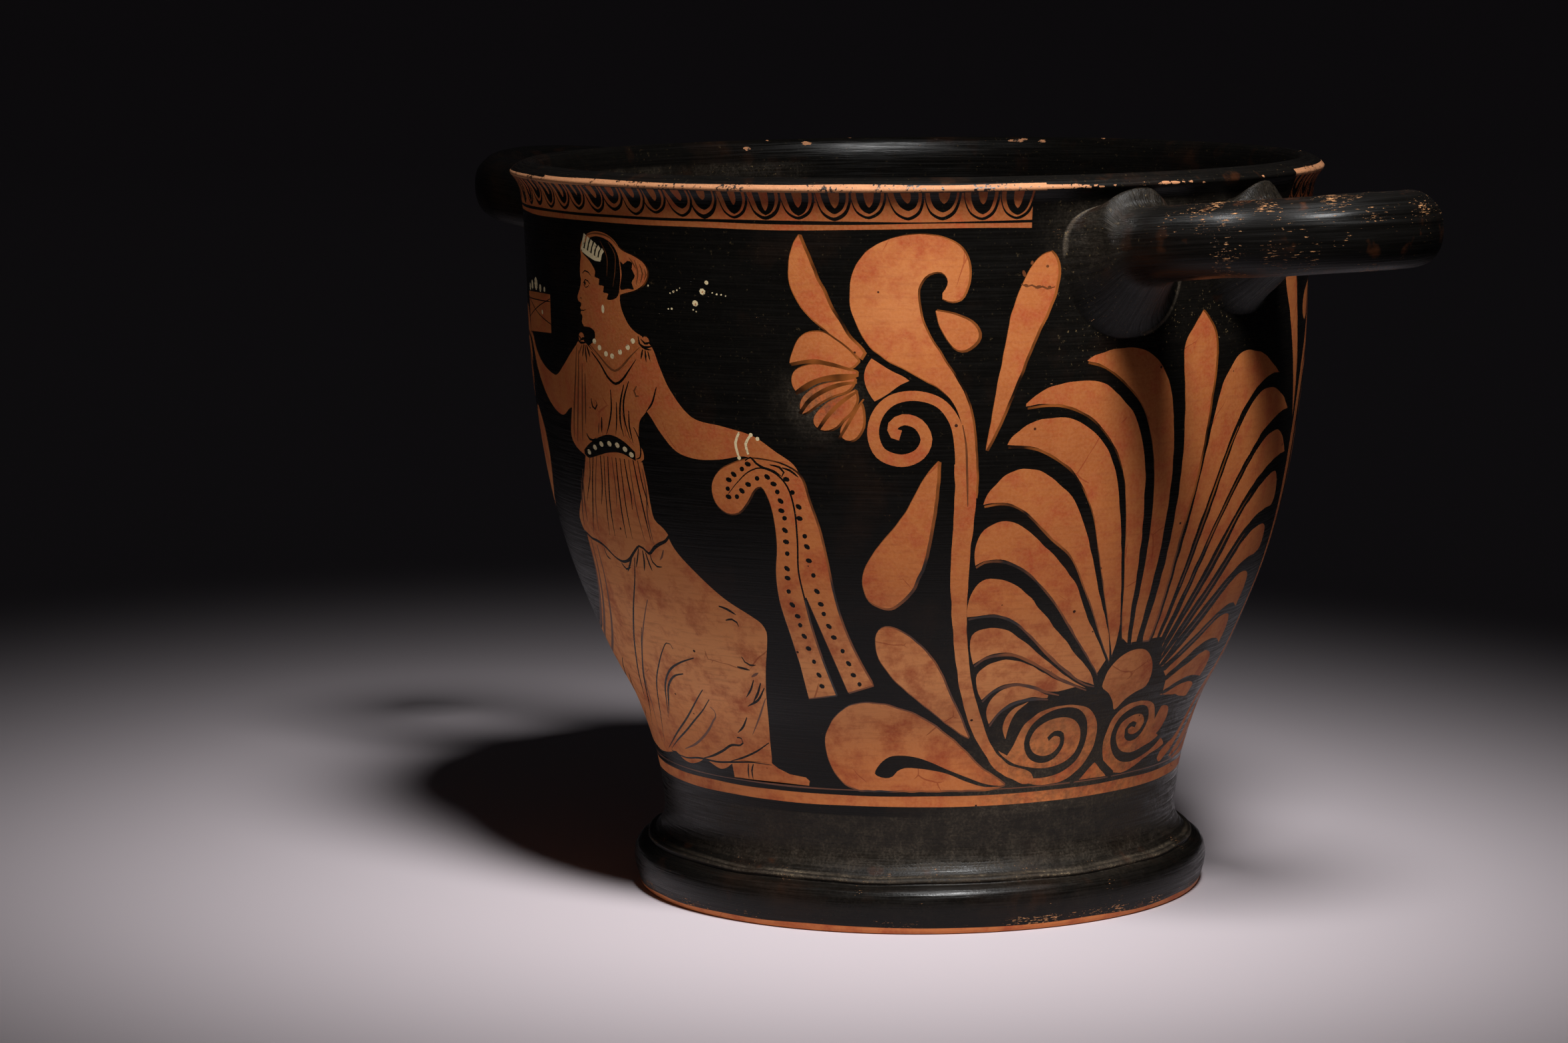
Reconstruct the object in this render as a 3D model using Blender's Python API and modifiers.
"""A large skyphos: a deep drinking cup of fired clay with two loop handles.

The bowl, its waisted stem and its rounded foot are one wheel-thrown body. The
handles are rolled bars of the same clay, bent into loops and pressed on under
the lip before firing, so the finished vessel is a single solid.

Frame: metres, +Z up, origin on the surface that the foot stands on, under the
centre of the bowl. The handles reach along X and the main picture faces -Y.
"""
import math

import bmesh
import bpy
from mathutils import Vector

MM = 0.001
TURN_STEPS = 72

# Driving dimensions, in millimetres
HEIGHT = 236.0
LIP_RADIUS = 132.7
LIP_EDGE = 3.0
MOUTH_RADIUS = 121.0
WALL = 6.0
STEM_RADIUS = 83.2
FOOT_RADIUS = 93.2
FOOT_HEIGHT = 16.0
STANDING_RADIUS = 91.0
FLOOR_TOP = 22.0
RECESS_RADIUS = 73.0
RECESS_HEIGHT = 10.0

# The bowl's outer side as (height, radius), from the top of the stem to under the lip
BOWL_SIDE = [
    (24.0, STEM_RADIUS),
    (38.6, 84.9),
    (62.0, 92.2),
    (90.0, 105.9),
    (128.0, 118.4),
    (172.0, 124.8),
    (205.0, 126.1),
    (222.0, 127.1),
]

# Handles: a bar whose centre line runs out from the wall, round a half ellipse and back
BAR_RADIUS = 10.6
ROOT_SPREAD = 25.7
LOOP_HALF_WIDTH = 30.7
LOOP_START = 167.8
LOOP_DEPTH = 35.3
ROOT_HEIGHT = 213.6
HANDLE_RISE = 0.13
HANDLE_DROOP = 0.00047
WALL_AT_HANDLE = 126.0
ROOT_INSET = 3.0
ROOT_FLARE = 0.3
ROOT_FLARE_LENGTH = 18.0
ROOT_PAD = 0.85


def smooth(t):
    """Ease from 0 to 1 with level ends."""
    t = min(max(t, 0.0), 1.0)
    return t * t * (3.0 - 2.0 * t)


def arc(centre, radii, start, end, steps):
    """Points on an ellipse in the (radius, height) plane, angles in degrees."""
    points = []
    for i in range(steps + 1):
        angle = math.radians(start + (end - start) * i / steps)
        points.append((centre[0] + radii[0] * math.cos(angle), centre[1] + radii[1] * math.sin(angle)))
    return points


def curve_through(stations, steps):
    """A smooth curve through (height, radius) stations, as (radius, height) points."""
    first, last = stations[0], stations[-1]
    before = (2 * first[0] - stations[1][0], 2 * first[1] - stations[1][1])
    after = (2 * last[0] - stations[-2][0], 2 * last[1] - stations[-2][1])
    knots = [Vector(k) for k in [before] + stations + [after]]
    points = []
    for a, b, c, d in zip(knots, knots[1:], knots[2:], knots[3:]):
        for i in range(steps):
            t = i / steps
            p = 0.5 * ((2 * b) + (c - a) * t + (2 * a - 5 * b + 4 * c - d) * t * t
                       + (3 * b - a - 3 * c + d) * t ** 3)
            points.append((p.y, p.x))
    points.append((last[1], last[0]))
    return points


def vessel_profile():
    """The turned section: up the inside from the axis, over the lip, down the outside and under."""
    outside = curve_through(BOWL_SIDE, 2)

    inside = [(0.0, FLOOR_TOP), (30.0, FLOOR_TOP + 0.8)]
    inside += arc((52.0, FLOOR_TOP + 24.0), (24.0, 22.0), -80.0, -30.0, 3)
    inside += [(radius - WALL - 1.2 * (1.0 - height / HEIGHT), height) for radius, height in outside[5::2]]

    lip = [(MOUTH_RADIUS, HEIGHT - 4.0), (MOUTH_RADIUS + 1.2, HEIGHT - 0.7), (MOUTH_RADIUS + 3.6, HEIGHT)]
    lip += [(LIP_RADIUS - 0.8 * LIP_EDGE, HEIGHT - 1.5), (LIP_RADIUS, HEIGHT - 3.6)]
    lip += [(LIP_RADIUS - 1.4, HEIGHT - 5.0), (LIP_RADIUS - 3.9, HEIGHT - 8.0)]

    foot = [(STEM_RADIUS, FOOT_HEIGHT + 3.0), (STEM_RADIUS + 1.0, FOOT_HEIGHT + 1.0)]
    foot += arc((FOOT_RADIUS - 6.5, 9.0), (6.5, 7.0), 70.0, -30.0, 5)
    foot += [(STANDING_RADIUS + 0.8, 1.2), (STANDING_RADIUS, 0.0)]

    underside = [(RECESS_RADIUS + 2.0, 0.0), (RECESS_RADIUS, RECESS_HEIGHT - 2.0)]
    underside += [(RECESS_RADIUS - 6.0, RECESS_HEIGHT), (0.0, RECESS_HEIGHT + 1.5)]
    return inside + lip + outside[::-1] + foot + underside


def turned_vessel(material):
    """Bowl, stem and foot, turned round Z."""
    profile = vessel_profile()
    mesh = bpy.data.meshes.new("skyphos")
    edges = [(i, i + 1) for i in range(len(profile) - 1)]
    mesh.from_pydata([(r * MM, 0.0, z * MM) for r, z in profile], edges, [])
    mesh.materials.append(material)
    vessel = bpy.data.objects.new("skyphos", mesh)
    screw = vessel.modifiers.new("turned", "SCREW")
    screw.axis = "Z"
    screw.steps = TURN_STEPS
    screw.render_steps = TURN_STEPS
    screw.use_merge_vertices = True
    screw.merge_threshold = 0.00001
    screw.use_smooth_shade = True
    return vessel


def handle_height(reach):
    """Height of the bar's centre line, which rises a little away from the wall."""
    out = reach - WALL_AT_HANDLE
    return ROOT_HEIGHT + HANDLE_RISE * out - HANDLE_DROOP * out * out


def handle_path():
    """The +X handle's centre line in millimetres, from the -Y root round to the +Y root."""
    root_angle = math.asin(ROOT_SPREAD / WALL_AT_HANDLE)
    depth = WALL_AT_HANDLE - ROOT_INSET
    root = (depth * math.cos(root_angle), -depth * math.sin(root_angle))
    arm = []
    arm_steps = 7
    for i in range(arm_steps):
        t = i / arm_steps
        spread = LOOP_HALF_WIDTH + root[1]
        arm.append((root[0] + (LOOP_START - root[0]) * t, root[1] - spread * smooth(1.15 * t)))
    loop_steps = 18
    loop = []
    for i in range(loop_steps + 1):
        angle = math.radians(-90.0 + 180.0 * i / loop_steps)
        loop.append((LOOP_START + LOOP_DEPTH * math.cos(angle), LOOP_HALF_WIDTH * math.sin(angle)))
    path = arm + loop + [(x, -y) for x, y in reversed(arm)]
    return [Vector((x, y, handle_height(x))) for x, y in path]


def root_share(reach):
    """1 at the wall, fading to 0 where the bar has its own thickness."""
    return 1.0 - smooth((reach - WALL_AT_HANDLE) / ROOT_FLARE_LENGTH)


def handle_bar(name, turn, material):
    """One handle as a closed bar whose roots swell and run down the wall."""
    curve = bpy.data.curves.new(name, "CURVE")
    curve.dimensions = "3D"
    curve.twist_mode = "Z_UP"
    curve.bevel_depth = BAR_RADIUS * MM
    curve.bevel_resolution = 4
    curve.use_fill_caps = True
    path = handle_path()
    spline = curve.splines.new("POLY")
    spline.points.add(len(path) - 1)
    for point, place in zip(spline.points, path):
        point.co = (*(place * MM), 1.0)
        point.radius = 1.0 + ROOT_FLARE * root_share(place.x)
    guide = bpy.data.objects.new(name + "_centre_line", curve)
    bpy.context.scene.collection.objects.link(guide)
    bpy.context.view_layer.update()
    evaluated = guide.evaluated_get(bpy.context.evaluated_depsgraph_get())
    mesh = bpy.data.meshes.new_from_object(evaluated)
    bpy.data.objects.remove(guide)
    mesh.name = name
    mesh.materials.clear()
    mesh.materials.append(material)

    bar = bmesh.new()
    bar.from_mesh(mesh)
    bmesh.ops.remove_doubles(bar, verts=bar.verts, dist=0.00001)
    for vert in bar.verts:
        reach = vert.co.x / MM
        middle = handle_height(reach) * MM
        if vert.co.z < middle:
            vert.co.z = middle + (vert.co.z - middle) * (1.0 + ROOT_PAD * root_share(reach))
    bmesh.ops.recalc_face_normals(bar, faces=bar.faces)
    bar.to_mesh(mesh)
    bar.free()
    mesh.shade_smooth()
    handle = bpy.data.objects.new(name, mesh)
    handle.rotation_euler.z = turn
    return handle


def join_handles(vessel, handles, cutters):
    """Fuse the handles into the wall, keeping them as hidden operands."""
    for handle in handles:
        cutters.objects.link(handle)
        handle.hide_render = True
        handle.display_type = "WIRE"
        union = vessel.modifiers.new("luted " + handle.name, "BOOLEAN")
        union.operation = "UNION"
        union.solver = "EXACT"
        union.object = handle


def glossed_clay():
    """Black gloss over fired clay: a fine slip sintered to a dark, softly shining skin."""
    material = bpy.data.materials.new("black_gloss")
    material.use_nodes = True
    shader = material.node_tree.nodes["Principled BSDF"]
    shader.inputs["Base Color"].default_value = (0.016, 0.014, 0.013, 1.0)
    shader.inputs["Roughness"].default_value = 0.3
    shader.inputs["Metallic"].default_value = 0.0
    return material


def clear_scene():
    for old in list(bpy.data.objects):
        bpy.data.objects.remove(old)


clear_scene()
skyphos_parts = bpy.data.collections.new("skyphos")
operands = bpy.data.collections.new("cutters")
for collection in (skyphos_parts, operands):
    bpy.context.scene.collection.children.link(collection)
gloss = glossed_clay()
skyphos = turned_vessel(gloss)
skyphos_parts.objects.link(skyphos)
loops = [handle_bar("handle_right", 0.0, gloss), handle_bar("handle_left", math.pi, gloss)]
join_handles(skyphos, loops, operands)
